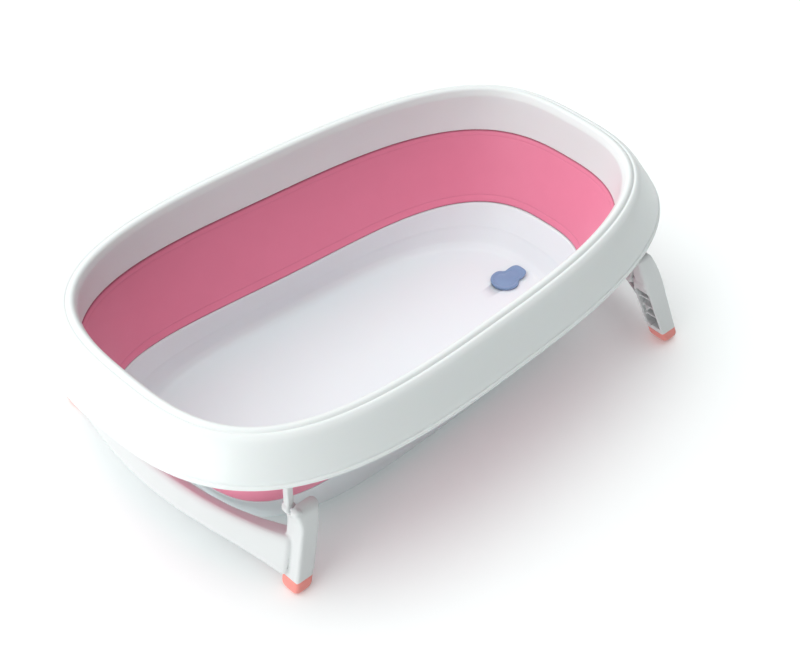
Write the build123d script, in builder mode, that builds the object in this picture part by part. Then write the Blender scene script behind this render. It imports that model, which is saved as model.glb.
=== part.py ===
"""Collapsible baby bathtub on two folding leg frames.

A rigid rim collar carries a soft wall, which carries a rigid base tray with a drain plug.
Four brackets under the rim hold two U-shaped leg frames on hinge pins. To store the tub
the base tray rises into the rim, the soft wall folds, and the legs turn in under it.

Units are millimetres. X runs along the tub towards the drain end, Y across it, and Z is up.
The origin is on the floor, below the middle of the tub, which stands open on its feet.
"""
import os
from dataclasses import dataclass
from math import cos, hypot, pi, radians, sin, tan

from build123d import *

os.makedirs("parts", exist_ok=True)

# ---- driving dimensions: plan outlines ----
# An outline is a rounded egg shape: half length, half width, squareness (and how much of it
# is lost from the foot end to the drain end), taper towards the drain end, waist, centre in X.
RIM_PLAN = (410.0, 270.0, 2.57, 0.0, -0.088, 0.104, 0.0)
WALL_TOP_PLAN = (361.3, 214.9, 2.71, 0.0, -0.123, 0.104, -5.2)
BASE_TOP_PLAN = (321.5, 160.3, 3.32, 0.51, -0.134, 0.130, -1.0)
FLOOR_PLAN = (292.6, 149.2, 3.25, 0.49, -0.110, 0.0, -7.0)
OUTLINE_POINTS = 36

# ---- driving dimensions: heights above the floor ----
RIM_TOP_Z = 227.0
SKIRT_Z = 173.0
WALL_TOP_Z = 166.5
BASE_TOP_Z = 74.0
FLOOR_Z = 25.0
BASE_BOTTOM_Z = 16.0
HINGE_Z = 110.0
FOOT_Z = 20.0

# ---- driving dimensions: walls and gaps ----
SHELL = 3.0
SOFT_SHELL = 2.6
CREST_INSET = 42.3
BODY_GAP = 0.3
RUNNING_GAP = 0.06

# ---- driving dimensions: legs ----
LEG_Y = 227.0
LEG_SPLAY = 0.13
LEG_LENGTH_X = 25.0
LEG_FLARE = 0.06
LEG_LENGTH_Y = 28.0
LEG_CORNER = 4.0
LEG_NECK_Z = 97.0
TENON = 3.0
TENON_LENGTH = 13.0
FOOT_ROUND = 5.0

# ---- driving dimensions: crossbar ----
BOW = 46.0
PANEL_END_Y = 210.0
PANEL_PROUD = 2.5
PANEL_TOP_Z = 75.5
PANEL_TOP_DROP = 7.0
PANEL_BOTTOM_Z = 43.0
PANEL_BOTTOM_DROP = 26.0
FLANGE_DEPTH = 29.0
TUB_CLEARANCE = 5.0
RIB_PITCH = 62.0
RIB_COUNT = 5

# ---- driving dimensions: hinges ----
PIN_RADIUS = 3.0
PIN_HEAD_RADIUS = 5.0
PIN_HEAD = 2.5
PIN_LENGTH = 20.0
BARREL_RADIUS = 7.5
BARREL_LENGTH = 11.0
LUG_RADIUS = 9.0
LUG_GAP = 3.0
BRACKET_PLATE = (34.0, 14.0, 4.0)
BRACKET_TOP_Z = 182.0
WEB_LENGTH_X = 8.0
WEB_LENGTH_Y = 9.0
SCREW_SPACING = 24.0
SCREW_RADIUS = 1.8
SCREW_HEAD_RADIUS = 3.6
SCREW_HEAD = 2.2
SCREW_GRIP = 12.0

# ---- driving dimensions: drain ----
DRAIN_X = 241.0
DRAIN_Y = -6.0
DRAIN_RADIUS = 15.0
SEAL_RADIUS = 19.0
SEAL_FLANGE = 1.6
PLUG_RADIUS = 20.0
PLUG_STEM_RADIUS = 12.0
PLUG_CAP = 3.5
TAB_LENGTH = 33.0
TAB_WIDTH = 15.0


@dataclass
class LegEnd:
    """What differs between the leg frames: all sizes are given with outward as +X."""

    name: str
    side: int
    leg_x: float
    lean: float
    hinge_x: float
    barrel_y: float
    plate_y: float
    shoulder_z: float
    shoulder_round_x: float
    shoulder_round_y: float


LEG_ENDS = [
    LegEnd("back_end", -1, 321.5, tan(radians(15)), 297.0, 187.0, 198.0, 124.0, 3.0, 12.0),
    LegEnd("drain_end", 1, 344.0, tan(radians(15.5)), 286.0, 177.0, 182.5, 152.0, 20.0, 6.0),
]
SIDES = {"near": -1, "far": 1}
PIECES = []


def keep(builder, name):
    """Label a finished piece and write its file."""
    builder.part.label = name
    export_step(builder.part, f"parts/{name}.step")
    PIECES.append(builder.part)


def outline_point(plan, angle):
    """Return one point of a plan outline, angle 0 being the drain end."""
    half_length, half_width, squareness, fade, taper, waist, centre_x = plan
    power = 2 / (squareness - fade * cos(angle))
    along = abs(cos(angle)) ** power * (1 if cos(angle) > 0 else -1)
    across = abs(sin(angle)) ** power * (1 if sin(angle) > 0 else -1)
    bulge = 1 + taper * along + waist * (along**2 - 0.5)
    return centre_x + half_length * along, half_width * across * bulge


def outline_points(plan, inset):
    """Return points round a plan outline, moved inwards by inset along its normals."""
    points = []
    step = 0.01
    for index in range(OUTLINE_POINTS):
        angle = 2 * pi * (index + 0.5) / OUTLINE_POINTS
        x, y = outline_point(plan, angle)
        ahead_x, ahead_y = outline_point(plan, angle + step)
        behind_x, behind_y = outline_point(plan, angle - step)
        run_x, run_y = ahead_x - behind_x, ahead_y - behind_y
        length = hypot(run_x, run_y)
        points.append((x - inset * run_y / length, y + inset * run_x / length))
    return points


def section(plan, inset, z):
    """Return a flat face with a plan outline's shape at a height."""
    with BuildSketch(Plane.XY.offset(z)) as sketch:
        with BuildLine():
            Spline(*outline_points(plan, inset), periodic=True)
        make_face()
    return sketch.sketch.faces()[0]


# ---- rim collar: outward sloping skirt, rounded crest and inner wall ----
with BuildPart() as rim_block:
    loft([
        section(RIM_PLAN, 0, SKIRT_Z),
        section(RIM_PLAN, 9.5, SKIRT_Z + 19),
        section(RIM_PLAN, 21.5, SKIRT_Z + 39),
        section(RIM_PLAN, 27.5, SKIRT_Z + 48.5),
        section(RIM_PLAN, 35.5, RIM_TOP_Z),
    ])

with BuildPart() as rim_hollow:
    loft([
        section(RIM_PLAN, SHELL, SKIRT_Z - 1),
        section(RIM_PLAN, 9.5 + SHELL, SKIRT_Z + 18),
        section(RIM_PLAN, 21.5 + SHELL, SKIRT_Z + 37),
        section(RIM_PLAN, 28.5 + SHELL, SKIRT_Z + 46),
        section(RIM_PLAN, 34.5 + SHELL, RIM_TOP_Z - SHELL),
    ])

with BuildPart() as rim_opening:
    loft([
        section(WALL_TOP_PLAN, 0, WALL_TOP_Z - 1),
        section(RIM_PLAN, CREST_INSET, RIM_TOP_Z + 1),
    ], ruled=True)

with BuildPart() as rim_inner_wall:
    loft([
        section(WALL_TOP_PLAN, -SHELL, WALL_TOP_Z),
        section(RIM_PLAN, CREST_INSET - SHELL, RIM_TOP_Z),
    ], ruled=True)

# Solid blocks inside the collar take the bracket screws.
BRACKET_PLACES = [
    (end.side * end.hinge_x, side_y * end.plate_y)
    for end in LEG_ENDS
    for side_y in SIDES.values()
]

with BuildPart() as rim_bosses:
    with Locations(*[(x, y, BRACKET_TOP_Z) for x, y in BRACKET_PLACES]):
        Box(BRACKET_PLATE[0], BRACKET_PLATE[1], RIM_TOP_Z - SHELL - BRACKET_TOP_Z,
            align=(Align.CENTER, Align.CENTER, Align.MIN))
    add(rim_block.part, mode=Mode.INTERSECT)

with BuildPart() as rim:
    add(rim_block.part)
    add(rim_hollow.part, mode=Mode.SUBTRACT)
    add(rim_inner_wall.part)
    add(rim_bosses.part)
    add(rim_opening.part, mode=Mode.SUBTRACT)
    for x, y in BRACKET_PLACES:
        with Locations((x, y, BRACKET_TOP_Z + SCREW_GRIP / 2)):
            with GridLocations(SCREW_SPACING, 0, 2, 1):
                Cylinder(SCREW_RADIUS, SCREW_GRIP, mode=Mode.SUBTRACT)
keep(rim, "rim")

# ---- soft folding wall between the rim and the base tray ----
with BuildPart() as soft_wall:
    loft([
        section(BASE_TOP_PLAN, -SOFT_SHELL, BASE_TOP_Z + BODY_GAP),
        section(WALL_TOP_PLAN, -SOFT_SHELL, WALL_TOP_Z),
    ], ruled=True)
    loft([
        section(BASE_TOP_PLAN, 0, BASE_TOP_Z + BODY_GAP),
        section(WALL_TOP_PLAN, 0, WALL_TOP_Z),
    ], ruled=True, mode=Mode.SUBTRACT)
keep(soft_wall, "soft_wall")

# ---- base tray with its drain hole ----
with BuildPart() as base_tray:
    loft([
        section(FLOOR_PLAN, 6, BASE_BOTTOM_Z),
        section(FLOOR_PLAN, -SHELL, FLOOR_Z - 1),
        section(BASE_TOP_PLAN, -SHELL, BASE_TOP_Z),
    ], ruled=True)
    loft([
        section(FLOOR_PLAN, 8, BASE_BOTTOM_Z + SHELL),
        section(FLOOR_PLAN, 0, FLOOR_Z),
        section(BASE_TOP_PLAN, 0, BASE_TOP_Z),
    ], ruled=True, mode=Mode.SUBTRACT)
    with Locations((DRAIN_X, DRAIN_Y, BASE_BOTTOM_Z)):
        Cylinder(DRAIN_RADIUS, 3 * SHELL, mode=Mode.SUBTRACT)
keep(base_tray, "base_tray")

# ---- drain seal, pressed into the hole in the tray ----
TRAY_FLOOR_Z = BASE_BOTTOM_Z + SHELL
UPWARDS = (Align.CENTER, Align.CENTER, Align.MIN)

with BuildPart() as drain_seal:
    with Locations((DRAIN_X, DRAIN_Y, BASE_BOTTOM_Z)):
        Cylinder(DRAIN_RADIUS, SHELL, align=UPWARDS)
    with Locations((DRAIN_X, DRAIN_Y, TRAY_FLOOR_Z)):
        Cylinder(SEAL_RADIUS, SEAL_FLANGE, align=UPWARDS)
    with Locations((DRAIN_X, DRAIN_Y, BASE_BOTTOM_Z)):
        Cylinder(PLUG_STEM_RADIUS + BODY_GAP, 4 * SHELL, mode=Mode.SUBTRACT)
keep(drain_seal, "drain_seal")

# ---- drain plug: stem, cap and finger tab ----
CAP_Z = TRAY_FLOOR_Z + SEAL_FLANGE

with BuildPart() as drain_plug:
    with Locations((DRAIN_X, DRAIN_Y, BASE_BOTTOM_Z)):
        Cylinder(PLUG_STEM_RADIUS, CAP_Z - BASE_BOTTOM_Z, align=UPWARDS)
    with Locations((DRAIN_X, DRAIN_Y, CAP_Z)):
        Cylinder(PLUG_RADIUS, PLUG_CAP, align=UPWARDS)
    with BuildSketch(Plane.XY.offset(CAP_Z + PLUG_CAP / 2)):
        with Locations((DRAIN_X + TAB_LENGTH / 2, DRAIN_Y)):
            SlotOverall(TAB_LENGTH, TAB_WIDTH)
    extrude(amount=PLUG_CAP)
keep(drain_plug, "drain_plug")


# ---- leg frames ----
def placed(part, end):
    """Turn a part made with outward as +X to its own end of the tub."""
    return part if end.side > 0 else mirror(part, about=Plane.YZ)


def leg_outer_x(end, z):
    """Return where a leg's outer face stands at a height."""
    return end.leg_x - end.lean * z


def leg_inner_x(end, z):
    """Return where a leg's inner face stands at a height."""
    return leg_outer_x(end, z) - LEG_LENGTH_X - LEG_FLARE * z


def leg_side_y(z):
    """Return how far a leg's side face stands from the tub's middle at a height."""
    return LEG_Y - LEG_SPLAY * z


def leg_column(end, side_y, low, high, inset=0.0, round_x=0.0, round_y=0.0):
    """Return the stretch of one leg between two heights, with its corners rounded."""
    with BuildPart() as column:
        with BuildSketch(Plane.XZ):
            with BuildLine():
                Polyline(
                    (leg_inner_x(end, low) + inset, low),
                    (leg_outer_x(end, low) - inset, low),
                    (leg_outer_x(end, high) - inset, high),
                    (leg_inner_x(end, high) + inset, high),
                    close=True,
                )
            face = make_face()
            if round_x:
                fillet(face.vertices().group_by(Axis.Y)[-1].sort_by(Axis.X)[-1], round_x)
        extrude(amount=2 * LEG_Y, both=True)
        with BuildSketch(Plane.YZ):
            with BuildLine():
                Polyline(
                    (side_y * (leg_side_y(low) - LEG_LENGTH_Y + inset), low),
                    (side_y * (leg_side_y(low) - inset), low),
                    (side_y * (leg_side_y(high) - inset), high),
                    (side_y * (leg_side_y(high) - LEG_LENGTH_Y + inset), high),
                    close=True,
                )
            face = make_face()
            if round_y:
                outermost = -1 if side_y > 0 else 0
                fillet(face.vertices().group_by(Axis.Y)[-1].sort_by(Axis.X)[outermost], round_y)
        extrude(amount=2 * end.leg_x, mode=Mode.INTERSECT)
    return column.part


def crossbar_plan(end, z, face_depth, reach):
    """Return the bowed strip that a crossbar fills at a height."""
    outer_x = leg_outer_x(end, z) + PANEL_PROUD - face_depth
    inner_x = leg_outer_x(end, z) - FLANGE_DEPTH - reach
    end_y = PANEL_END_Y - LEG_SPLAY * z
    with BuildSketch(Plane.XY.offset(z)) as sketch:
        with BuildLine():
            outer = ThreePointArc((outer_x, -end_y), (outer_x + BOW, 0), (outer_x, end_y))
            inner = ThreePointArc((inner_x, end_y), (inner_x + BOW, 0), (inner_x, -end_y))
            Line(outer @ 1, inner @ 0)
            Line(inner @ 1, outer @ 0)
        make_face()
    return sketch.sketch.faces()[0]


def crossbar_strip(end, wall):
    """Return a crossbar's solid, or with a wall thickness the channel inside it."""
    low, high = FOOT_Z - TENON_LENGTH, PANEL_TOP_Z + SHELL
    with BuildPart() as strip:
        loft([crossbar_plan(end, low, wall, wall), crossbar_plan(end, high, wall, wall)], ruled=True)
        with BuildSketch(Plane.YZ):
            with BuildLine():
                top_end, top_middle = PANEL_TOP_Z - PANEL_TOP_DROP - wall, PANEL_TOP_Z - wall
                low_end, low_middle = PANEL_BOTTOM_Z - PANEL_BOTTOM_DROP + wall, PANEL_BOTTOM_Z + wall
                top = ThreePointArc((-LEG_Y, top_end), (0, top_middle), (LEG_Y, top_end))
                bottom = ThreePointArc((LEG_Y, low_end), (0, low_middle), (-LEG_Y, low_end))
                Line(top @ 1, bottom @ 0)
                Line(bottom @ 1, top @ 0)
            make_face()
        extrude(amount=2 * end.leg_x, mode=Mode.INTERSECT)
    return strip.part


def leg_frame(end):
    """Return one leg frame: two legs, a ribbed channel across them and the hinge lugs."""
    channel = crossbar_strip(end, SHELL)
    with BuildPart() as ribs:
        with Locations((end.leg_x, 0, PANEL_TOP_Z)):
            with GridLocations(0, RIB_PITCH, 1, RIB_COUNT):
                Box(3 * BOW, SHELL, 2 * PANEL_TOP_Z)
        add(channel, mode=Mode.INTERSECT)
    with BuildPart() as tub_room:
        extrude(placed(section(BASE_TOP_PLAN, -SHELL - TUB_CLEARANCE, 0), end), 2 * PANEL_TOP_Z, both=True)
    lug_y = end.barrel_y + BARREL_LENGTH + LUG_GAP
    lug_end_y = leg_side_y(HINGE_Z) - 1
    bore_end_y = end.barrel_y + PIN_LENGTH
    with BuildPart() as frame:
        add(crossbar_strip(end, 0))
        add(channel, mode=Mode.SUBTRACT)
        add(ribs.part)
        add(tub_room.part, mode=Mode.SUBTRACT)
        for side_y in SIDES.values():
            add(leg_column(end, side_y, FOOT_Z, end.shoulder_z, 0,
                           end.shoulder_round_x, end.shoulder_round_y))
            add(leg_column(end, side_y, FOOT_Z - TENON_LENGTH, FOOT_Z, TENON))
        with Locations((0, 0, LEG_NECK_Z)):
            Box(3 * end.leg_x, 2 * lug_y, end.shoulder_z, align=UPWARDS, mode=Mode.SUBTRACT)
        for side_y in SIDES.values():
            with Locations(Location((end.hinge_x, side_y * (lug_y + lug_end_y) / 2, HINGE_Z), (90, 0, 0))):
                Cylinder(LUG_RADIUS, lug_end_y - lug_y)
            with Locations(Location((end.hinge_x, side_y * (lug_y + bore_end_y) / 2, HINGE_Z), (90, 0, 0))):
                Cylinder(PIN_RADIUS + RUNNING_GAP, bore_end_y - lug_y + 2 * RUNNING_GAP, mode=Mode.SUBTRACT)
    return frame.part


for end in LEG_ENDS:
    with BuildPart() as leg_frame_piece:
        add(placed(leg_frame(end), end))
    keep(leg_frame_piece, f"leg_frame_{end.name}")

# ---- rubber feet, cupped over the ends of the legs ----
for end in LEG_ENDS:
    for side_name, side_y in SIDES.items():
        with BuildPart() as foot:
            add(leg_column(end, side_y, 0, FOOT_Z))
            fillet(foot.faces().sort_by(Axis.Z)[0].edges(), FOOT_ROUND)
            add(leg_column(end, side_y, FOOT_Z - TENON_LENGTH, FOOT_Z, TENON), mode=Mode.SUBTRACT)
        with BuildPart() as foot_piece:
            add(placed(foot.part, end))
        keep(foot_piece, f"foot_{end.name}_{side_name}")

# ---- hinge brackets and pins ----
for end in LEG_ENDS:
    for side_name, side_y in SIDES.items():
        middle_y = side_y * (end.barrel_y + BARREL_LENGTH / 2)
        plate_z = BRACKET_TOP_Z - BRACKET_PLATE[2]
        with BuildPart() as bracket:
            with Locations((end.hinge_x, side_y * end.plate_y, plate_z)):
                Box(*BRACKET_PLATE, align=UPWARDS)
            with Locations((end.hinge_x, middle_y, HINGE_Z)):
                Box(WEB_LENGTH_X, WEB_LENGTH_Y, plate_z - HINGE_Z, align=UPWARDS)
            with Locations(Location((end.hinge_x, middle_y, HINGE_Z), (90, 0, 0))):
                Cylinder(BARREL_RADIUS, BARREL_LENGTH)
                Cylinder(PIN_RADIUS, BARREL_LENGTH, mode=Mode.SUBTRACT)
            with Locations((end.hinge_x, side_y * end.plate_y, BRACKET_TOP_Z)):
                with GridLocations(SCREW_SPACING, 0, 2, 1):
                    Cylinder(SCREW_RADIUS, 3 * BRACKET_PLATE[2], mode=Mode.SUBTRACT)
        with BuildPart() as bracket_piece:
            add(placed(bracket.part, end))
        keep(bracket_piece, f"hinge_bracket_{end.name}_{side_name}")

        head_y = side_y * (end.barrel_y - PIN_HEAD / 2)
        shank_y = side_y * (end.barrel_y + PIN_LENGTH / 2)
        with BuildPart() as pin:
            with Locations(Location((end.hinge_x, head_y, HINGE_Z), (90, 0, 0))):
                Cylinder(PIN_HEAD_RADIUS, PIN_HEAD)
            with Locations(Location((end.hinge_x, shank_y, HINGE_Z), (90, 0, 0))):
                Cylinder(PIN_RADIUS, PIN_LENGTH)
        with BuildPart() as pin_piece:
            add(placed(pin.part, end))
        keep(pin_piece, f"hinge_pin_{end.name}_{side_name}")

# ---- bracket screws, all in one group ----
with BuildPart() as bracket_screws:
    for x, y in BRACKET_PLACES:
        with Locations((x, y, BRACKET_TOP_Z - BRACKET_PLATE[2])):
            with GridLocations(SCREW_SPACING, 0, 2, 1):
                Cylinder(SCREW_HEAD_RADIUS, SCREW_HEAD, align=(Align.CENTER, Align.CENTER, Align.MAX))
                Cylinder(SCREW_RADIUS, BRACKET_PLATE[2] + SCREW_GRIP, align=UPWARDS)
keep(bracket_screws, "bracket_screws")

whole = Compound(children=PIECES)
print("pieces", len(PIECES), "size", whole.bounding_box().size)
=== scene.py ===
"""Looks of the collapsible baby bathtub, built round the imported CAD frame.

Shapes are written in millimetres in the CAD model's own frame and scaled to metres when
a mesh is made. X runs along the tub towards the drain end, Y across it, and Z is up.
The measurements come first, then the materials, the mesh helpers, and a section for each
part of the tub, where every piece has its own function.
"""
from math import cos, hypot, pi, radians, sin, sqrt, tan

import bmesh
import bpy
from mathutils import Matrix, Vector


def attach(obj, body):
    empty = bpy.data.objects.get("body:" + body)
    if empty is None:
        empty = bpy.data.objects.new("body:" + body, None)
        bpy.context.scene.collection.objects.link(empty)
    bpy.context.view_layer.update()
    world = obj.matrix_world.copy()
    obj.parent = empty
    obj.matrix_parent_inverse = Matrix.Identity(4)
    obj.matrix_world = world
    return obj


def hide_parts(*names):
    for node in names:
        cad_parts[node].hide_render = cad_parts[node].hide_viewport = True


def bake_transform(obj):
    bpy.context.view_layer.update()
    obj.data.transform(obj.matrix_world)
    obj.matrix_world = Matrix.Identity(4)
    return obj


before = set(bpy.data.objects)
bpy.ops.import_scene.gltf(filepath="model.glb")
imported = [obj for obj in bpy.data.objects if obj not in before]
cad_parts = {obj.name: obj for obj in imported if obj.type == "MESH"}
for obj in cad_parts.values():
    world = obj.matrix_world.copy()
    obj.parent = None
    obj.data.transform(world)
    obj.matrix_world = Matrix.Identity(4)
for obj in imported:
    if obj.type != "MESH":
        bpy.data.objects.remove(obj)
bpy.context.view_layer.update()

MM = 0.001

# ---- plan outlines: half length, half width, squareness along and across, how much of it
# is lost towards the drain end, taper towards the drain end, waist, centre in X ----
RIM_PLAN = (410.0, 270.0, 2.40, 2.74, 0.0, -0.088, 0.104, 0.0)
WALL_TOP_PLAN = (361.3, 214.9, 2.71, 2.71, 0.0, -0.123, 0.104, -5.2)
BASE_TOP_PLAN = (321.5, 160.3, 3.32, 3.32, 0.51, -0.134, 0.130, -1.0)
FLOOR_PLAN = (292.6, 149.2, 3.25, 3.25, 0.49, -0.110, 0.0, -7.0)
ROUND = 288

# ---- heights and walls ----
RIM_TOP_Z = 227.0
WALL_TOP_Z = 166.5
BASE_TOP_Z = 74.0
TRAY_FLOOR_Z = 19.0
BASE_BOTTOM_Z = 16.0
HINGE_Z = 110.0
FOOT_Z = 20.0
FOOT_TOP_Z = 20.2
SOLE_ROUND = 11.0
SHELL = 3.0
CREST_INSET = 42.3
BODY_GAP = 0.3

# ---- drain ----
DRAIN_X = 241.0
DRAIN_Y = -6.0
DRAIN_RADIUS = 15.0
SEAL_RADIUS = 19.0
SEAL_BORE = 12.3
SEAL_FLANGE = 1.6
PLUG_RADIUS = 20.0
PLUG_STEM_RADIUS = 12.0
PLUG_REACH = 33.0
PLUG_WAIST = 2.2

# ---- legs: how far out they stand, their section, the notch round the bracket's knuckle,
# and the ribbed channel along their inner side ----
LEG_Y = 227.0
LEG_SPLAY = 0.13
LEG_LENGTH_X = 25.0
LEG_LENGTH_Y = 28.0
LEG_CORNER = 4.0
LEG_TENON = 10.0
LEG_VOXEL = 1.2
NOTCH_RADIUS = 10.5
BROW_LOW_Z = 84.0
BROW_HIGH_Z = 106.0
LEG_CHANNEL_LOW_Z = 27.0
LEG_CHANNEL_HIGH_Z = 95.0
LEG_RIBS_Z = (44.0, 61.0, 78.0)
LEG_RIB_HALF = 1.2
LEG_RIB_SHRINK = 1.5

# ---- crossbars ----
BOW = 46.0
PANEL_END_Y = 212.0
PANEL_PROUD = 4.5
PANEL_TOP_Z = 75.5
PANEL_TOP_DROP = 7.0
PANEL_BOTTOM_Z = 43.5
PANEL_BOTTOM_DROP = 32.0
PANEL_CORNER = 7.0
PANEL_END_ROUND = 4.0
PANEL_WAIST_Z = 60.0
FLANGE_FALL = 7.0
TUB_CLEARANCE = 5.0
RIB_PITCH = 62.0
RIB_COUNT = 5
RIB_HALF = 1.5

# ---- hinges ----
PIN_RADIUS = 3.0
PIN_LENGTH = 20.0
PIN_HEAD_RADIUS = 5.0
PIN_HEAD = 2.5
BARREL_RADIUS = 7.5
BARREL_LENGTH = 11.0
LUG_RADIUS = 9.0
LUG_GAP = 3.0
BRACKET_PLATE = (34.0, 14.0, 4.0)
BRACKET_TOP_Z = 182.0
BRACKET_VOXEL = 0.8
ARM_HALF = 4.6
ARM_FLARE = 4.0
ARM_THICKNESS = 9.0
ARM_BEND = 0.3
BOSS_OVERLAP = 1.2

# ---- camera ----
CAMERA_PLACE = (-1.1703, -1.3102, 1.6029)
CAMERA_TARGET = (0.003165, -0.052403, 0.100)
CAMERA_LENS = 82.66

# ---- light: the direction the surround is brightest from, how far round it has faded out,
# its weakest and strongest light, then the softbox beyond the back end ----
LIGHT_FROM = (-0.22, 0.40, 0.83)
LIGHT_EDGE = 0.17
LIGHT_LOW = 0.05
LIGHT_HIGH = 2.05
SOFTBOX_PLACE = (-2.9, -0.5, 0.55)
SOFTBOX_SIZE = 1.6
SOFTBOX_POWER = 25
FLOOR_HALF_M = 9.0
FLOOR_GLOW = 0.13

# ---- the two ends. leg_x: a leg's outer face at floor height. lean: how far it leans in for
# each millimetre up. hinge_x, barrel_y, plate_y: the hinge's axis, and where its knuckle and
# its plate stand. top_z, round_*: the top of the leg's head and how it is rounded. curl and
# flare: how the leg curves outside and widens inside. brow_x: the upright front of the leg's
# head. depth_*: the crossbar's depth at its middle and at its ends ----
ENDS = [
    dict(name="back_end", side=-1, leg_x=321.5, lean=tan(radians(15)), hinge_x=297.0,
         barrel_y=187.0, plate_y=198.0, top_z=117.0, round_x=6.0, round_y=13.0, round_back=9.0,
         curl=0.0, flare=0.0, brow_x=300.5, depth_middle=20.0, depth_end=38.0),
    dict(name="drain_end", side=1, leg_x=344.0, lean=tan(radians(15.5)), hinge_x=286.0,
         barrel_y=177.0, plate_y=182.5, top_z=158.0, round_x=8.0, round_y=6.0, round_back=4.0,
         curl=0.0028, flare=0.06, brow_x=0.0, depth_middle=20.0, depth_end=34.0),
]
SIDES = {"near": -1, "far": 1}


# ======== materials ========
def node_material(name, colour, roughness):
    """Return a new material with its node tree and shader, ready for detail."""
    material = bpy.data.materials.new(name)
    material.use_nodes = True
    shader = material.node_tree.nodes["Principled BSDF"]
    shader.inputs["Base Color"].default_value = (*colour, 1)
    shader.inputs["Roughness"].default_value = roughness
    return material, material.node_tree, shader


def noise(tree, scale, detail, roughness=0.5):
    """Return the factor of a noise that fills the object's own space."""
    coordinates = tree.nodes.new("ShaderNodeTexCoord")
    texture = tree.nodes.new("ShaderNodeTexNoise")
    texture.inputs["Scale"].default_value = scale
    texture.inputs["Detail"].default_value = detail
    texture.inputs["Roughness"].default_value = roughness
    tree.links.new(coordinates.outputs["Object"], texture.inputs["Vector"])
    return texture.outputs["Fac"]


def spread(tree, value, low, high):
    """Return a value from a noise, stretched between two limits."""
    node = tree.nodes.new("ShaderNodeMapRange")
    node.inputs["From Min"].default_value = 0.3
    node.inputs["From Max"].default_value = 0.7
    node.inputs["To Min"].default_value = low
    node.inputs["To Max"].default_value = high
    tree.links.new(value, node.inputs["Value"])
    return node.outputs["Result"]


def two_tone(tree, factor, first, second):
    """Return a colour between two, mixed by a factor."""
    mix = tree.nodes.new("ShaderNodeMix")
    mix.data_type = "RGBA"
    mix.inputs[6].default_value = (*first, 1)
    mix.inputs[7].default_value = (*second, 1)
    tree.links.new(factor, mix.inputs[0])
    return mix.outputs[2]


def relief(tree, shader, layers):
    """Give a shader a bump made of layers: a height and a depth in metres for each."""
    normal = None
    for height, depth in layers:
        bump = tree.nodes.new("ShaderNodeBump")
        bump.inputs["Strength"].default_value = 1.0
        bump.inputs["Distance"].default_value = depth
        tree.links.new(height, bump.inputs["Height"])
        if normal:
            tree.links.new(normal, bump.inputs["Normal"])
        normal = bump.outputs["Normal"]
    tree.links.new(normal, shader.inputs["Normal"])


def gloss_plastic(name, colour, shade, roughness):
    """Satin moulded plastic: faint flow marks, a slight orange peel and uneven gloss."""
    material, tree, shader = node_material(name, colour, roughness)
    flow = noise(tree, 9, 4)
    peel = noise(tree, 340, 2)
    grain = noise(tree, 2200, 2)
    tree.links.new(two_tone(tree, flow, colour, shade), shader.inputs["Base Color"])
    tree.links.new(spread(tree, flow, roughness - 0.05, roughness + 0.07), shader.inputs["Roughness"])
    relief(tree, shader, [(peel, 0.00003), (grain, 0.000012)])
    shader.inputs["Subsurface Weight"].default_value = 0.04
    shader.inputs["Subsurface Scale"].default_value = 0.004
    shader.inputs["Coat Weight"].default_value = 0.12
    shader.inputs["Coat Roughness"].default_value = 0.2
    return material


def matte_plastic(name, colour, shade):
    """Spark-eroded plastic: an even fine grain that scatters the light."""
    material, tree, shader = node_material(name, colour, 0.5)
    flow = noise(tree, 14, 3)
    grain = noise(tree, 1500, 3, 0.7)
    tree.links.new(two_tone(tree, flow, colour, shade), shader.inputs["Base Color"])
    tree.links.new(spread(tree, grain, 0.42, 0.56), shader.inputs["Roughness"])
    relief(tree, shader, [(grain, 0.00006)])
    return material


def soft_rubber(name, colour, shade, grain_size, depth, roughness):
    """Soft-touch rubber: a fine pebbled skin with a faint bloom."""
    material, tree, shader = node_material(name, colour, roughness)
    bloom = noise(tree, 22, 5, 0.6)
    pebble = noise(tree, grain_size, 3, 0.6)
    tree.links.new(two_tone(tree, bloom, colour, shade), shader.inputs["Base Color"])
    tree.links.new(spread(tree, bloom, roughness - 0.06, roughness + 0.08), shader.inputs["Roughness"])
    relief(tree, shader, [(pebble, depth)])
    shader.inputs["Sheen Weight"].default_value = 0.15
    shader.inputs["Sheen Roughness"].default_value = 0.5
    return material


def paint_seam_shade(material, seam_shade_colour):
    """Paint shade into a material where its mesh carries the seam attribute: a painted shadow line
    along joins and creases.
    """
    tree = material.node_tree
    shader = tree.nodes["Principled BSDF"]
    skin = shader.inputs["Base Color"].links[0].from_socket
    seam_shade = tree.nodes.new("ShaderNodeAttribute")
    seam_shade.attribute_name = "seam_shade"
    mix = tree.nodes.new("ShaderNodeMix")
    mix.data_type = "RGBA"
    mix.inputs[7].default_value = (*seam_shade_colour, 1)
    tree.links.new(seam_shade.outputs["Fac"], mix.inputs[0])
    tree.links.new(skin, mix.inputs[6])
    tree.links.new(mix.outputs[2], shader.inputs["Base Color"])


def turned_steel(name):
    """Plain turned steel with fine tool marks."""
    material, tree, shader = node_material(name, (0.55, 0.56, 0.58), 0.3)
    marks = noise(tree, 1800, 4, 0.7)
    tree.links.new(two_tone(tree, marks, (0.5, 0.51, 0.53), (0.64, 0.65, 0.67)),
                   shader.inputs["Base Color"])
    tree.links.new(spread(tree, marks, 0.24, 0.4), shader.inputs["Roughness"])
    relief(tree, shader, [(marks, 0.00001)])
    shader.inputs["Metallic"].default_value = 1
    return material


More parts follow.
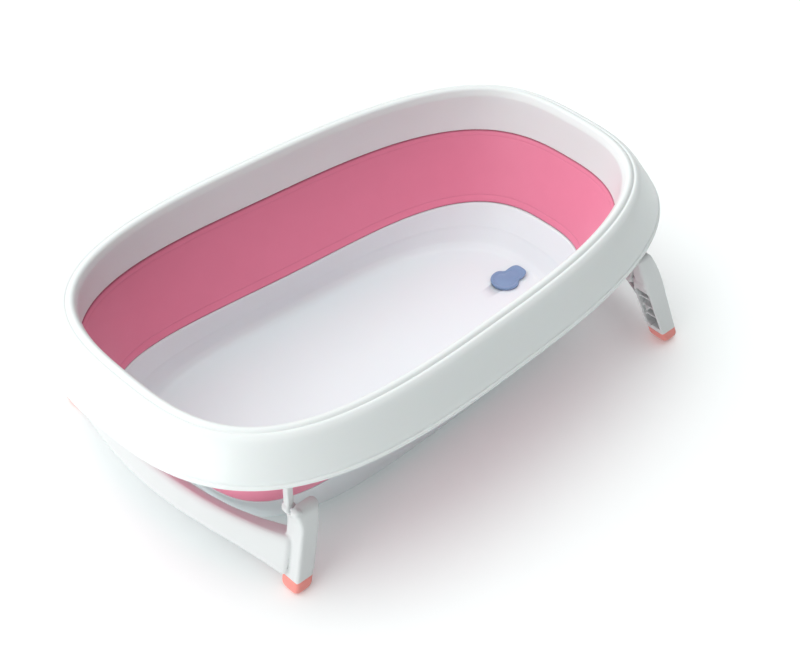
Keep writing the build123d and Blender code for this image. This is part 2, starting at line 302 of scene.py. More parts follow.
# Each plastic and rubber has its colour, and the slightly darker colour it drifts to.
RIM_WHITE = gloss_plastic("rim_white", (0.79, 0.83, 0.825), (0.77, 0.815, 0.81), roughness=0.36)
BASE_WHITE = gloss_plastic("base_white", (0.78, 0.85, 0.87), (0.755, 0.83, 0.855), roughness=0.38)
SOFT_PINK = soft_rubber("soft_pink", (0.82, 0.235, 0.365), (0.78, 0.215, 0.335),
                        grain_size=1300, depth=0.00008, roughness=0.5)
# The seam colour is painted shade: a dark shadow line along the pink's joins with the white and along
# its faint creases.
paint_seam_shade(SOFT_PINK, (0.42, 0.085, 0.15))
LEG_WHITE = matte_plastic("leg_white", (0.73, 0.755, 0.755), (0.70, 0.73, 0.73))
FOOT_CORAL = soft_rubber("foot_coral", (0.90, 0.30, 0.26), (0.85, 0.27, 0.235),
                         grain_size=900, depth=0.00012, roughness=0.55)
PLUG_BLUE = soft_rubber("plug_blue", (0.20, 0.31, 0.50), (0.17, 0.275, 0.46),
                        grain_size=1100, depth=0.00005, roughness=0.42)
STEEL = turned_steel("steel")


# ======== mesh helpers ========
def mesh_object(name, points, faces, material):
    """Return an object from points in millimetres, smooth shaded, faces turned outwards."""
    mesh = bpy.data.meshes.new(name)
    mesh.from_pydata([(x * MM, y * MM, z * MM) for x, y, z in points], [], faces)
    made = bmesh.new()
    made.from_mesh(mesh)
    bmesh.ops.recalc_face_normals(made, faces=made.faces)
    made.to_mesh(mesh)
    made.free()
    mesh.shade_smooth()
    mesh.materials.append(material)
    piece = bpy.data.objects.new(name, mesh)
    bpy.context.collection.objects.link(piece)
    return piece


def ring_faces(ring_count, size, closed):
    """Return quads that join rings of the same size, in a closed tube or an open one."""
    faces = []
    for ring in range(ring_count if closed else ring_count - 1):
        here, there = ring * size, (ring + 1) % ring_count * size
        for index in range(size):
            after = (index + 1) % size
            faces.append((here + index, here + after, there + after, there + index))
    return faces


def skin(name, rings, material):
    """Return a closed shell that goes once round a profile of rings."""
    points = [point for ring in rings for point in ring]
    return mesh_object(name, points, ring_faces(len(rings), len(rings[0]), True), material)


def capped(rings):
    """Return points and faces of a solid through rings, with its first and last ring filled."""
    size = len(rings[0])
    points = [point for ring in rings for point in ring]
    faces = ring_faces(len(rings), size, False)
    faces.append(tuple(range(size)))
    faces.append(tuple(range(len(points) - size, len(points))))
    return points, faces


def modified(piece):
    """Bake a piece's modifiers into its mesh."""
    graph = bpy.context.evaluated_depsgraph_get()
    mesh = bpy.data.meshes.new_from_object(piece.evaluated_get(graph))
    piece.modifiers.clear()
    piece.data = mesh
    return piece


def joined(solids):
    """Return the points and faces of several solids as one."""
    points, faces = [], []
    for solid_points, solid_faces in solids:
        start = len(points)
        points += solid_points
        faces += [tuple(start + index for index in face) for face in solid_faces]
    return points, faces


def fuse(name, solids, material, voxel, smoothing, keep):
    """Return one moulded piece from overlapping solids, with its inner corners softened."""
    piece = mesh_object(name, *joined(solids), material)
    remesh = piece.modifiers.new("remesh", "REMESH")
    remesh.mode = "VOXEL"
    remesh.voxel_size = voxel * MM
    smooth = piece.modifiers.new("smooth", "SMOOTH")
    smooth.factor = 0.5
    smooth.iterations = smoothing
    thin = piece.modifiers.new("thin", "DECIMATE")
    thin.ratio = keep
    modified(piece)
    piece.data.shade_smooth()
    return piece


def smooth_line(stations, steps):
    """Return a smooth line (a Catmull-Rom spline) through stations, with steps between two."""
    line = []
    for index in range(len(stations) - 1):
        before = stations[max(index - 1, 0)]
        start, stop = stations[index], stations[index + 1]
        after = stations[min(index + 2, len(stations) - 1)]
        for step in range(steps):
            t = step / steps
            line.append(tuple(
                0.5 * (2 * b + (c - a) * t + (2 * a - 5 * b + 4 * c - d) * t**2
                       + (3 * b - a - 3 * c + d) * t**3)
                for a, b, c, d in zip(before, start, stop, after)))
    line.append(stations[-1])
    return line


def between(low, high, value):
    """Return a smooth step from 0 to 1 as a value goes from low to high."""
    share = min(max((value - low) / (high - low), 0), 1)
    return share * share * (3 - 2 * share)


# ======== plan outlines ========
def outline_point(plan, angle):
    """Return one point of a plan outline, angle 0 being the drain end."""
    half_length, half_width, along_power, across_power, fade, taper, waist, centre_x = plan
    lost = fade * cos(angle)
    along = abs(cos(angle)) ** (2 / (along_power - lost)) * (1 if cos(angle) > 0 else -1)
    across = abs(sin(angle)) ** (2 / (across_power - lost)) * (1 if sin(angle) > 0 else -1)
    bulge = 1 + taper * along + waist * (along**2 - 0.5)
    return centre_x + half_length * along, half_width * across * bulge


def even_angles(plan, count):
    """Return angles that divide a plan outline into stretches of equal length."""
    fine = 16 * count
    angles = [2 * pi * index / fine for index in range(fine + 1)]
    places = [outline_point(plan, angle) for angle in angles]
    run = [0.0]
    for start, stop in zip(places, places[1:]):
        run.append(run[-1] + hypot(stop[0] - start[0], stop[1] - start[1]))
    even = []
    index = 0
    for step in range(count):
        goal = run[-1] * (step + 0.5) / count
        while run[index + 1] < goal:
            index += 1
        share = (goal - run[index]) / (run[index + 1] - run[index])
        even.append(angles[index] + share * (angles[index + 1] - angles[index]))
    return even


ANGLES = even_angles(RIM_PLAN, ROUND)


def outline(plan, inset):
    """Return a plan outline's points, moved inwards by inset along its normals."""
    points = []
    step = 0.01
    for angle in ANGLES:
        x, y = outline_point(plan, angle)
        ahead_x, ahead_y = outline_point(plan, angle + step)
        behind_x, behind_y = outline_point(plan, angle - step)
        run_x, run_y = ahead_x - behind_x, ahead_y - behind_y
        length = hypot(run_x, run_y)
        points.append((x - inset * run_y / length, y + inset * run_x / length))
    return points


def level(plan, inset, z):
    """Return a ring at one height."""
    return [(x, y, z) for x, y in outline(plan, inset)]


def slope(top_ring, bottom_ring, drop):
    """Return the ring a share of the way down from one ring to another."""
    return [
        tuple(high + drop * (low - high) for high, low in zip(top, bottom))
        for top, bottom in zip(top_ring, bottom_ring)
    ]


# ======== rim collar ========
# The skirt's outer face as (inset, height), from its bottom lip up to the crest roll.
SKIRT_OUTSIDE = [
    (1.6, 173.0), (0.5, 173.4), (0.0, 174.4), (0.0, 175.8), (0.6, 176.9), (1.9, 177.5),
    (2.9, 178.2), (2.9, 179.6), (3.4, 181.8), (5.5, 186.0), (9.2, 192.0), (14.6, 201.0),
    (21.0, 211.6), (26.4, 219.0), (30.0, 222.4), (33.2, 224.3), (35.2, 224.7), (36.4, 224.3),
    (37.4, 224.4), (38.8, 225.6), (40.8, 226.7), (43.0, 227.0), (45.2, 226.5), (47.2, 225.0),
    (48.7, 222.5),
]
# Its hidden face, from below the crest roll down to the lip.
SKIRT_INSIDE = [
    (41.0, 222.0), (35.5, 221.2), (31.0, 218.4), (25.8, 212.0), (18.4, 201.6), (12.3, 191.0),
    (6.4, 181.0), (4.6, 177.4), (3.4, 174.6), (2.7, 173.2),
]
# The inner wall as (share of the way down, outward offset), down one face and up the other.
INNER_WALL = [
    (0.13, -7.6), (0.2, -7.3), (0.3, -6.4), (0.45, -4.8), (0.6, -3.3), (0.75, -1.9), (0.9, -0.6),
    (0.955, -0.2), (0.982, 0.2), (0.994, 0.9), (1.0, 1.9), (0.994, 2.8), (0.97, 3.0), (0.7, 0.8),
    (0.4, -2.2), (0.17, -4.4),
]


def inner_wall_ring(drop, offset):
    """Return a ring of the rim's inner wall, which runs from the crest to the soft wall."""
    return slope(
        level(RIM_PLAN, CREST_INSET - offset, RIM_TOP_Z),
        level(WALL_TOP_PLAN, -offset, WALL_TOP_Z),
        drop,
    )


def make_rim():
    """The collar: outward sloping skirt, crest bead with its groove, and inner wall."""
    rings = [level(RIM_PLAN, inset, z) for inset, z in smooth_line(SKIRT_OUTSIDE, 3)]
    rings += [inner_wall_ring(drop, offset) for drop, offset in smooth_line(INNER_WALL, 2)]
    rings += [level(RIM_PLAN, inset, z) for inset, z in smooth_line(SKIRT_INSIDE, 2)]
    rim = skin("rim_collar", rings, RIM_WHITE)
    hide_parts("rim")
    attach(rim, "collar")


# ======== soft folding wall ========
# The inner face as (share of the way down, outward offset, how much painted shade it takes at its
# seams and creases).
WALL_INSIDE = [
    (0.0, 1.9, 1.0), (0.003, 1.0, 1.0), (0.008, 0.5, 0.9), (0.016, 0.1, 0.3), (0.028, -0.2, 0.0),
    (0.056, -0.2, 0.0), (0.072, 0.25, 0.12), (0.086, 0.0, 0.0), (0.2, 0.0, 0.0), (0.35, 0.0, 0.0),
    (0.5, 0.0, 0.0), (0.65, 0.0, 0.0), (0.8, 0.0, 0.0), (0.875, 0.0, 0.0), (0.89, 0.35, 0.18),
    (0.905, -0.1, 0.0), (0.95, -0.2, 0.0), (0.972, -0.1, 0.0), (0.984, 0.3, 0.5),
    (0.992, 0.9, 1.0), (1.0, 1.6, 1.0),
]
WALL_OUTSIDE = [
    (1.0, 2.4, 0.0), (0.97, 2.8, 0.0), (0.9, 2.6, 0.0), (0.7, 2.6, 0.0), (0.5, 2.6, 0.0),
    (0.3, 2.6, 0.0), (0.1, 2.6, 0.0), (0.03, 2.8, 0.0), (0.0, 2.5, 0.0),
]


def make_wall():
    """The folding wall, with a bead and a crease along each edge, and painted shade along its seams
    and creases.
    """
    stations = smooth_line(WALL_INSIDE, 3) + smooth_line(WALL_OUTSIDE, 3)
    rings = [
        slope(
            level(WALL_TOP_PLAN, -offset, WALL_TOP_Z),
            level(BASE_TOP_PLAN, -offset, BASE_TOP_Z + BODY_GAP),
            drop,
        )
        for drop, offset, painted_shade in stations
    ]
    wall = skin("folding_wall", rings, SOFT_PINK)
    # Painted shade for each ring: darkest at the joins with the white parts, faint at the creases.
    seam_shade = wall.data.attributes.new("seam_shade", "FLOAT", "POINT")
    for ring, (drop, offset, painted_shade) in enumerate(stations):
        for index in range(ROUND):
            seam_shade.data[ring * ROUND + index].value = min(max(painted_shade, 0), 1)
    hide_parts("soft_wall")
    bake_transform(wall)


# ======== base tray ========
# The tray's side as (share of the way from the top outline to the floor outline, height,
# outward offset), from the lip down to the floor.
TRAY_INSIDE = [
    (0.0, 73.4, 1.5), (0.0, 73.8, 0.9), (0.02, 73.2, 0.3), (0.05, 71.9, 0.0), (0.25, 61.6, 0.0),
    (0.5, 49.4, 0.2), (0.56, 46.4, 0.0), (0.6, 44.6, 0.5), (0.75, 37.2, 0.6), (0.92, 28.6, 0.0),
    (0.97, 25.8, -1.2), (1.0, 23.2, -3.2), (1.0, 21.0, -6.0), (1.0, 19.7, -9.4), (1.0, 19.15, -13.0),
    (1.0, 19.0, -17.0),
]
TRAY_OUTSIDE = [
    (1.0, 16.0, -18.0), (1.0, 16.0, -8.0), (1.0, 16.6, -4.0), (1.0, 18.8, 0.4), (1.0, 23.0, 2.8),
    (0.75, 37.0, 3.0), (0.5, 49.0, 3.0), (0.25, 61.5, 3.0), (0.05, 71.5, 3.0), (0.0, 73.4, 2.9),
    (0.0, 73.9, 2.3),
]


def tray_ring(share, z, offset):
    """Return one ring of the tray's side."""
    top = outline(BASE_TOP_PLAN, -offset)
    floor = outline(FLOOR_PLAN, -offset)
    return [
        (x + share * (floor_x - x), y + share * (floor_y - y), z)
        for (x, y), (floor_x, floor_y) in zip(top, floor)
    ]


def shrunk(ring, scale, z):
    """Return a ring drawn in towards the tray's middle."""
    centre_x = FLOOR_PLAN[-1]
    return [(centre_x + (x - centre_x) * scale, y * scale, z) for x, y, height in ring]


def make_tray():
    """The base tray: ramped side, a soft step round it, floor and drain hole."""
    side = [tray_ring(*station) for station in smooth_line(TRAY_INSIDE, 2)]
    underside = [tray_ring(*station) for station in smooth_line(TRAY_OUTSIDE, 2)]
    scales = [0.94, 0.86, 0.74, 0.6, 0.45, 0.3, 0.16, 0.05]
    floor = [shrunk(side[-1], scale, TRAY_FLOOR_Z) for scale in scales]
    bottom = [shrunk(underside[0], scale, BASE_BOTTOM_Z) for scale in reversed(scales)]
    points, faces = capped(bottom + underside + side + floor)
    tray = mesh_object("base_tray_shell", points, faces, BASE_WHITE)
    hole_points, hole_faces = capped([
        circle(DRAIN_X, DRAIN_Y, DRAIN_RADIUS, z) for z in (BASE_BOTTOM_Z - 4, TRAY_FLOOR_Z + 4)
    ])
    hole = mesh_object("drain_hole_cutter", hole_points, hole_faces, BASE_WHITE)
    cut = tray.modifiers.new("drain_hole", "BOOLEAN")
    cut.operation = "DIFFERENCE"
    cut.solver = "EXACT"
    cut.object = hole
    modified(tray)
    bpy.data.objects.remove(hole)
    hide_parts("base_tray")
    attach(tray, "base")


# ======== drain ========
def circle(x, y, radius, z, count=64):
    """Return a round ring about an upright axis."""
    return [
        (x + radius * cos(2 * pi * index / count), y + radius * sin(2 * pi * index / count), z)
        for index in range(count)
    ]


def make_seal():
    """The drain seal: a ring with a rounded flange on the tray's floor."""
    flange_z = TRAY_FLOOR_Z + SEAL_FLANGE
    profile = [
        (SEAL_BORE, BASE_BOTTOM_Z), (SEAL_BORE, flange_z - 0.8), (SEAL_BORE + 0.8, flange_z),
        (SEAL_RADIUS - 2.2, flange_z), (SEAL_RADIUS - 0.7, flange_z - 0.5),
        (SEAL_RADIUS, TRAY_FLOOR_Z + 0.1), (DRAIN_RADIUS, TRAY_FLOOR_Z), (DRAIN_RADIUS, BASE_BOTTOM_Z),
    ]
    rings = [circle(DRAIN_X, DRAIN_Y, radius, z) for radius, z in profile]
    seal = skin("drain_seal_ring", rings, PLUG_BLUE)
    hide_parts("drain_seal")
    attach(seal, "base")


def leaf_ring(scale, z, lift):
    """Return a ring of the plug's leaf: a round cap drawn out to a tab towards the drain end."""
    ring = []
    count = 96
    for index in range(count):
        angle = 2 * pi * index / count
        away = abs((angle + pi) % (2 * pi) - pi)
        # Away from the tab's middle, the cap narrows to a waist and widens to its round part.
        tab = (PLUG_REACH - PLUG_RADIUS) * (1 - between(radians(12), radians(46), away))
        waist_in = between(radians(30), radians(52), away)
        waist_out = between(radians(52), radians(80), away)
        waist = PLUG_WAIST * waist_in * (1 - waist_out)
        radius = (PLUG_RADIUS + tab - waist) * scale
        rise = lift * between(PLUG_RADIUS * 0.7, PLUG_REACH, radius * cos(away))
        ring.append((DRAIN_X + radius * cos(angle), DRAIN_Y + radius * sin(angle), z + rise))
    return ring


def make_plug():
    """The drain plug: stem, domed leaf-shaped cap and a lifted finger tab."""
    cap_z = TRAY_FLOOR_Z + SEAL_FLANGE
    stem = [
        circle(DRAIN_X, DRAIN_Y, PLUG_STEM_RADIUS - trim, z, 96)
        for trim, z in ((1.6, BASE_BOTTOM_Z), (0.3, BASE_BOTTOM_Z + 0.7), (0.0, BASE_BOTTOM_Z + 1.6),
                        (0.0, cap_z - 0.2))
    ]
    # The leaf as (scale, height above the flange, lift of the tab).
    leaf = [
        (0.62, 0.0, 2.0), (0.93, 0.0, 2.6), (0.98, 0.35, 2.6), (1.0, 1.2, 2.6), (0.99, 2.4, 2.6),
        (0.955, 3.2, 2.6), (0.9, 3.6, 2.4), (0.84, 3.4, 2.2), (0.78, 2.7, 1.8), (0.7, 2.6, 1.5),
        (0.6, 3.2, 1.2), (0.45, 3.9, 0.6), (0.25, 4.3, 0.2), (0.08, 4.4, 0.0),
    ]
    cap = [leaf_ring(scale, cap_z + z, lift) for scale, z, lift in leaf]
    points, faces = capped(stem + cap)
    plug = mesh_object("plug_leaf", points, faces, PLUG_BLUE)
    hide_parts("drain_plug")
    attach(plug, "plug")


# ======== leg frames ========
def placed(end, solid):
    """Turn a solid made with outward as +X to its own end of the tub."""
    points, faces = solid
    return [(end["side"] * x, y, z) for x, y, z in points], faces


def leg_outer_x(end, z):
    """Return where a leg's outer face stands at a height."""
    return end["leg_x"] - end["lean"] * z - end["curl"] * max(z - 100, 0) ** 2


def head_outer_x(end, z):
    """Return the same for the leg's head, whose brow stands upright in front of the hinge."""
    face = leg_outer_x(end, z)
    return face + max(end["brow_x"] - face, 0) * between(BROW_LOW_Z, BROW_HIGH_Z, z)


def leg_inner_x(end, z):
    """Return where a leg's inner face stands at a height."""
    return end["leg_x"] - end["lean"] * z - LEG_LENGTH_X - end["flare"] * z


def leg_side_y(z):
    """Return how far a leg's side face stands from the tub's middle at a height."""
    return LEG_Y - LEG_SPLAY * z


def rounding(distance, radius):
    """Return how far a rounded edge falls back, a distance from the edge's end."""
    if distance >= radius:
        return 0.0
    return radius - sqrt(max(radius**2 - (radius - distance) ** 2, 0))


def box_ring(low, high, corner, z, corner_steps=5):
    """Return a ring round a rectangle with rounded corners."""
    ring = []
    quarter = pi / 2
    centres = [
        (high[0] - corner, high[1] - corner, 0), (low[0] + corner, high[1] - corner, 1),
        (low[0] + corner, low[1] + corner, 2), (high[0] - corner, low[1] + corner, 3),
    ]
    for centre_x, centre_y, turn in centres:
        for step in range(corner_steps + 1):
            angle = quarter * (turn + step / corner_steps)
            ring.append((centre_x + corner * cos(angle), centre_y + corner * sin(angle), z))
    return ring


def mirrored(side_y, ring):
    """Return a ring on one side of the tub."""
    return [(x, side_y * y, z) for x, y, z in ring]


def channel_ring(low, high, corner, z):
    """Return a ring round a U-section, rounded outside and open on its inner side."""
    outside = box_ring(low, high, corner, z)
    arc = len(outside) // 4
    return outside[:arc] + [
        (low[0], high[1], z), (low[0], high[1] - SHELL, z), (high[0] - SHELL, high[1] - SHELL, z),
        (high[0] - SHELL, low[1] + SHELL, z), (low[0], low[1] + SHELL, z), (low[0], low[1], z),
    ] + outside[-arc:]


def leg_rings(end, side_y, low, high, section=box_ring, shrink=0.0):
    """Return rings up one leg between two heights, with the notch for the knuckle.

    A shrink draws a section in all round, and most on the leg's open inner side.
    """
    rings = []
    lug_y = end["barrel_y"] + BARREL_LENGTH + LUG_GAP
    count = int((high - low) / 2) + 1
    for step in range(count + 1):
        z = low + (high - low) * step / count
        from_top = end["top_z"] - z
        outer_y = leg_side_y(z) - rounding(from_top, end["round_y"]) - shrink
        inner_y = leg_side_y(z) - LEG_LENGTH_Y + shrink
        if z > HINGE_Z:
            inner_y = lug_y
        elif z > HINGE_Z - NOTCH_RADIUS:
            inner_y = max(inner_y, lug_y - NOTCH_RADIUS + sqrt(NOTCH_RADIUS**2 - (HINGE_Z - z) ** 2))
        outer_x = head_outer_x(end, z) - rounding(from_top, end["round_x"]) - shrink
        inner_x = leg_inner_x(end, z) + rounding(from_top, end["round_back"]) + 3 * shrink
        corner = min(LEG_CORNER, (outer_y - inner_y) / 2.2)
        rings.append(mirrored(side_y, section((inner_x, inner_y), (outer_x, outer_y), corner, z)))
    return rings


def tub_edge_x(end, y):
    """Return how far out the tub and its clearance reach at a distance from the middle."""
    room = outline(BASE_TOP_PLAN, -SHELL - TUB_CLEARANCE)
    return max([0.0] + [end["side"] * x for x, wide in room if abs(wide) >= abs(y)])


def panel_face_x(end, y, z):
    """Return where the crossbar's bowed face stands."""
    half = PANEL_END_Y - LEG_SPLAY * z
    radius = (half**2 + BOW**2) / (2 * BOW)
    bow = BOW - radius + sqrt(radius**2 - y**2)
    return end["leg_x"] - end["lean"] * z + PANEL_PROUD + bow


def panel_edges(y, half):
    """Return the crossbar's bottom and top heights, with rounded ends."""
    share = (y / LEG_Y) ** 2
    corner = rounding(half - abs(y), PANEL_CORNER)
    return (PANEL_BOTTOM_Z - PANEL_BOTTOM_DROP * share**2 + corner,
            PANEL_TOP_Z - PANEL_TOP_DROP * share - corner)


def panel_back_x(end, y, half):
    """Return where the crossbar's flanges end, clear of the tub, at the height of its waist."""
    growth = (end["depth_end"] - end["depth_middle"]) * (y / half) ** 4
    depth = end["depth_middle"] + growth
    return max(panel_face_x(end, y, PANEL_WAIST_Z) - depth, tub_edge_x(end, y))


def crossbar_solid(end):
    """Return the crossbar: a bowed face with a flange along its top and its bottom."""
    half = PANEL_END_Y - LEG_SPLAY * PANEL_WAIST_Z
    rings = []
    steps = 60
    for step in range(-steps, steps + 1):
        y = half * sin(pi / 2 * step / steps)
        y = max(min(y, half - 0.05), 0.05 - half)
        low, high = panel_edges(y, half)
        turn = rounding(half - abs(y), PANEL_END_ROUND)
        back_x = panel_back_x(end, y, half)
        inner_high = high - FLANGE_FALL
        # The section as (distance in from the bowed face, height); None is a flange's edge.
        profile = [
            (turn + 4.5, low), (turn + 1.4, low + 1.2), (turn + 0.3, low + 3.4), (turn, low + 6.0),
            (turn, (low + high) / 2), (turn, high - 7.0), (turn + 0.5, high - 4.0),
            (turn + 2.2, high - 1.4), (turn + 5.0, high - 0.3), (None, inner_high),
            (None, inner_high - SHELL), (turn + SHELL + 2, high - SHELL - 1.4),
            (turn + SHELL, (low + high) / 2), (turn + SHELL, low + SHELL), (None, low + SHELL),
            (None, low),
        ]
        ring = []
        for inset, z in profile:
            splayed_y = y * (PANEL_END_Y - LEG_SPLAY * z) / half
            if inset is None:
                x = back_x - end["lean"] * (z - PANEL_WAIST_Z)
            else:
                x = panel_face_x(end, y, z) - inset
            ring.append((x, splayed_y, z))
        rings.append(ring)
    return capped(rings)


def rib_solid(end, y):
    """Return one rib inside the crossbar's channel."""
    low, high = panel_edges(y, PANEL_END_Y)
    back_x = panel_back_x(end, y, PANEL_END_Y) + RIB_HALF
    rings = []
    for z in (low + 1, (low + high) / 2, high - FLANGE_FALL - 1):
        face_x = panel_face_x(end, y, z) - RIB_HALF
        lean_x = end["lean"] * (z - PANEL_WAIST_Z)
        rings.append(box_ring((back_x - lean_x, y - RIB_HALF), (face_x, y + RIB_HALF), 0.4, z, 1))
    return capped(rings)


def turned(end, side_y, profile, count=48):
    """Return a solid turned about a hinge's axis, from (distance along it, radius)."""
    rings = []
    for along, radius in profile:
        rings.append([
            (end["hinge_x"] + radius * cos(2 * pi * index / count), side_y * along,
             HINGE_Z + radius * sin(2 * pi * index / count))
            for index in range(count)
        ])
    return capped(rings)


def make_leg_frame(end):
    """One leg frame: two legs with their hinge lugs, and the ribbed crossbar between them."""
    solids = [crossbar_solid(end)]
    for rib in range(RIB_COUNT):
        solids.append(rib_solid(end, (rib - (RIB_COUNT - 1) / 2) * RIB_PITCH))
    lug_y = end["barrel_y"] + BARREL_LENGTH + LUG_GAP
    lug_end = leg_side_y(HINGE_Z) - 1
    channel = (LEG_CHANNEL_LOW_Z, LEG_CHANNEL_HIGH_Z)
    for side_y in SIDES.values():
        solids.append(capped(leg_rings(end, side_y, FOOT_Z - LEG_TENON, channel[0] + 1)))
        solids.append(capped(leg_rings(end, side_y, *channel, channel_ring)))
        solids.append(capped(leg_rings(end, side_y, channel[1] - 1, end["top_z"] - 0.05)))
        for z in LEG_RIBS_Z:
            low, high = z - LEG_RIB_HALF, z + LEG_RIB_HALF
            solids.append(capped(leg_rings(end, side_y, low, high, box_ring, LEG_RIB_SHRINK)))
        solids.append(turned(end, side_y, [
            (lug_y, LUG_RADIUS - 4), (lug_y + 1.2, LUG_RADIUS - 3), (lug_end - 4, LUG_RADIUS - 3),
            (lug_end - 1.2, LUG_RADIUS - 4), (lug_end, LUG_RADIUS - 6),
        ]))
    solids = [placed(end, solid) for solid in solids]
    leg = fuse(f"legs_{end['name']}", solids, LEG_WHITE, LEG_VOXEL, smoothing=3, keep=0.5)
    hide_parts(f"leg_frame_{end['name']}")
    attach(leg, f"{end['name']}_legs")


def make_foot(end, side_name, side_y):
    """A rubber foot, pulled over the leg's end, with a well rounded sole."""
    rings = []
    stations = [0.0, 0.3, 0.8, 1.6, 2.8, 4.5, 6.5, 8.5, 10.5, 13.0, 16.0, 18.6, 19.4, 19.9]
    for z in stations + [FOOT_TOP_Z]:
        sole = rounding(z, SOLE_ROUND)
        inset = sole + rounding(FOOT_TOP_Z - z, 0.8) - 0.4
        low = (leg_inner_x(end, z) + inset, leg_side_y(z) - LEG_LENGTH_Y + inset)
        high = (leg_outer_x(end, z) - inset, leg_side_y(z) - inset)
        corner = min(LEG_CORNER + 1.5 + sole * 0.4, (high[1] - low[1]) / 2.1, (high[0] - low[0]) / 2.1)
        rings.append(mirrored(side_y, box_ring(low, high, corner, z, 8)))
    points, faces = placed(end, capped(rings))
    foot = mesh_object(f"rubber_foot_{end['name']}_{side_name}", points, faces, FOOT_CORAL)
    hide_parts(f"foot_{end['name']}_{side_name}")
    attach(foot, f"{end['name']}_legs")


# ======== hinges ========
def make_bracket(end, side_name, side_y):
    """A bracket: plate under the collar, slender arm and rounded knuckle."""
    middle_y = end["barrel_y"] + BARREL_LENGTH / 2
    plate_low_z = BRACKET_TOP_Z - BRACKET_PLATE[2]
    half_x, half_y = BRACKET_PLATE[0] / 2, BRACKET_PLATE[1] / 2
    plate = []
    for trim, z in ((0.8, plate_low_z), (0, plate_low_z + 0.8), (0, BRACKET_TOP_Z)):
        low = (end["hinge_x"] - half_x + trim, end["plate_y"] - half_y + trim)
        high = (end["hinge_x"] + half_x - trim, end["plate_y"] + half_y - trim)
        plate.append(mirrored(side_y, box_ring(low, high, 3, z)))
    arm = []
    stations = [HINGE_Z + rise for rise in (0, 8, 20, 40)]
    stations += [plate_low_z + rise for rise in (-8, -3, 1)]
    for z in stations:
        half = ARM_HALF + ARM_FLARE * between(plate_low_z - 8, plate_low_z, z)
        bend = ARM_BEND * between(plate_low_z - 10, plate_low_z, z)
        middle = middle_y + (end["plate_y"] - middle_y) * bend
        low = (end["hinge_x"] - half, middle - ARM_THICKNESS / 2)
        high = (end["hinge_x"] + half, middle + ARM_THICKNESS / 2)
        arm.append(mirrored(side_y, box_ring(low, high, 1.8, z)))
    start, stop = end["barrel_y"], end["barrel_y"] + BARREL_LENGTH
    barrel = turned(end, side_y, [
        (start, BARREL_RADIUS - 2.2), (start + 0.8, BARREL_RADIUS - 0.7), (start + 2.4, BARREL_RADIUS),
        (stop - 2.4, BARREL_RADIUS), (stop - 0.8, BARREL_RADIUS - 0.7), (stop, BARREL_RADIUS - 2.2),
    ])
    solids = [placed(end, solid) for solid in (capped(plate), capped(arm), barrel)]
    name = f"bracket_{end['name']}_{side_name}"
    bracket = fuse(name, solids, LEG_WHITE, BRACKET_VOXEL, smoothing=3, keep=0.6)
    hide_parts(f"hinge_bracket_{end['name']}_{side_name}")
    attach(bracket, "collar")


def make_pin(end, side_name, side_y):
    """A headed hinge pin with a chamfered end."""
    start = end["barrel_y"]
    stop = start + PIN_LENGTH
    points, faces = placed(end, turned(end, side_y, [
        (start - PIN_HEAD, 1.6), (start - PIN_HEAD + 0.1, PIN_HEAD_RADIUS - 1.2),
        (start - PIN_HEAD + 0.9, PIN_HEAD_RADIUS - 0.2), (start - 0.6, PIN_HEAD_RADIUS),
        (start, PIN_HEAD_RADIUS - 0.4), (start, PIN_RADIUS), (stop - 0.8, PIN_RADIUS),
        (stop, PIN_RADIUS - 0.8),
    ]))
    pin = mesh_object(f"pin_{end['name']}_{side_name}", points, faces, STEEL)
    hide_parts(f"hinge_pin_{end['name']}_{side_name}")
    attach(pin, "collar")


def skirt_under_z(x, y):
    """Return the height of the skirt's hidden face over a point of the plan."""
    edge = outline(RIM_PLAN, 0)
    inset = min(hypot(x - edge_x, y - edge_y) for edge_x, edge_y in edge)
    profile = sorted(SKIRT_INSIDE)
    for (low_inset, low_z), (high_inset, high_z) in zip(profile, profile[1:]):
        if low_inset <= inset <= high_inset:
            return low_z + (high_z - low_z) * (inset - low_inset) / (high_inset - low_inset)
    return profile[-1][1]


def make_bosses():
    """The four blocks inside the collar that take the bracket screws."""
    blocks = []
    half_x, half_y = BRACKET_PLATE[0] / 2 - 0.3, BRACKET_PLATE[1] / 2 - 0.3
    for end in ENDS:
        for side_y in SIDES.values():
            x, y = end["side"] * end["hinge_x"], side_y * end["plate_y"]
            plan = box_ring((x - half_x, y - half_y), (x + half_x, y + half_y), 2, 0, 4)
            low = [(px, py, BRACKET_TOP_Z + 0.05) for px, py, pz in plan]
            tops = [skirt_under_z(px, py) + BOSS_OVERLAP for px, py, pz in plan]
            high = [(px, py, max(top, BRACKET_TOP_Z + 1)) for (px, py, pz), top in zip(plan, tops)]
            blocks.append(capped([low, high]))
    bosses = mesh_object("collar_bosses", *joined(blocks), RIM_WHITE)
    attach(bosses, "collar")


# ======== floor, light and camera ========
def make_floor():
    """A plain pale floor, which glows a little to keep its shadows soft."""
    half = FLOOR_HALF_M
    corners = [(-half, -half, 0), (half, -half, 0), (half, half, 0), (-half, half, 0)]
    mesh = bpy.data.meshes.new("studio_floor")
    mesh.from_pydata(corners, [], [(0, 1, 2, 3)])
    material, tree, shader = node_material("studio_floor", (0.9, 0.9, 0.9), 0.9)
    shader.inputs["Specular IOR Level"].default_value = 0
    tint = two_tone(tree, noise(tree, 1.5, 2), (0.865, 0.91, 0.905), (0.875, 0.92, 0.915))
    tree.links.new(tint, shader.inputs["Base Color"])
    shader.inputs["Emission Color"].default_value = (1, 1, 1, 1)
    shader.inputs["Emission Strength"].default_value = FLOOR_GLOW
    mesh.materials.append(material)
    floor = bpy.data.objects.new("studio_floor", mesh)
    bpy.context.collection.objects.link(floor)


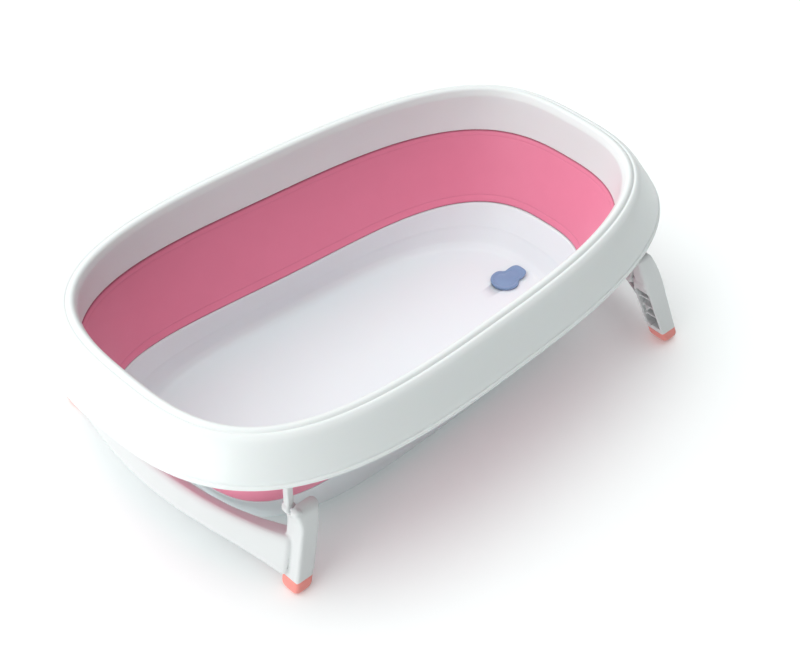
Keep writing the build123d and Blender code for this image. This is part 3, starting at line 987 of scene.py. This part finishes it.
def make_studio():
    """A soft bright surround, strongest above and behind, a softbox, and plain colours."""
    world = bpy.data.worlds.new("surround")
    world.use_nodes = True
    tree = world.node_tree
    tree.nodes["Background"].inputs["Color"].default_value = (1, 1, 1, 1)
    direction = tree.nodes.new("ShaderNodeTexCoord")
    towards = tree.nodes.new("ShaderNodeVectorMath")
    towards.operation = "DOT_PRODUCT"
    towards.inputs[1].default_value = Vector(LIGHT_FROM).normalized()
    tree.links.new(direction.outputs["Generated"], towards.inputs[0])
    glow = tree.nodes.new("ShaderNodeMapRange")
    glow.inputs["From Min"].default_value = LIGHT_EDGE
    glow.inputs["From Max"].default_value = 1
    glow.inputs["To Min"].default_value = LIGHT_LOW
    glow.inputs["To Max"].default_value = LIGHT_HIGH
    tree.links.new(towards.outputs["Value"], glow.inputs["Value"])
    tree.links.new(glow.outputs["Result"], tree.nodes["Background"].inputs["Strength"])
    bpy.context.scene.world = world
    softbox = bpy.data.lights.new("softbox", "AREA")
    softbox.size = SOFTBOX_SIZE
    softbox.energy = SOFTBOX_POWER
    lamp = bpy.data.objects.new("softbox", softbox)
    lamp.location = SOFTBOX_PLACE
    lamp.rotation_euler = (-Vector(SOFTBOX_PLACE)).to_track_quat("-Z", "Y").to_euler()
    bpy.context.collection.objects.link(lamp)
    bpy.context.scene.view_settings.view_transform = "Standard"


def make_camera():
    """The camera, looking down on the tub from the back end's near corner."""
    data = bpy.data.cameras.new("camera")
    data.lens = CAMERA_LENS
    camera = bpy.data.objects.new("camera", data)
    camera.location = CAMERA_PLACE
    aim = Vector(CAMERA_TARGET) - Vector(CAMERA_PLACE)
    camera.rotation_euler = aim.to_track_quat("-Z", "Y").to_euler()
    bpy.context.collection.objects.link(camera)
    bpy.context.scene.camera = camera


make_camera()
make_studio()
make_floor()
make_rim()
make_wall()
make_tray()
make_seal()
make_plug()
for end in ENDS:
    make_leg_frame(end)
    for side_name, side_y in SIDES.items():
        make_foot(end, side_name, side_y)
        make_bracket(end, side_name, side_y)
        make_pin(end, side_name, side_y)
make_bosses()

# The screws keep their CAD shape, and only take the steel.
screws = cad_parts["bracket_screws"]
screws.data.materials.clear()
screws.data.materials.append(STEEL)
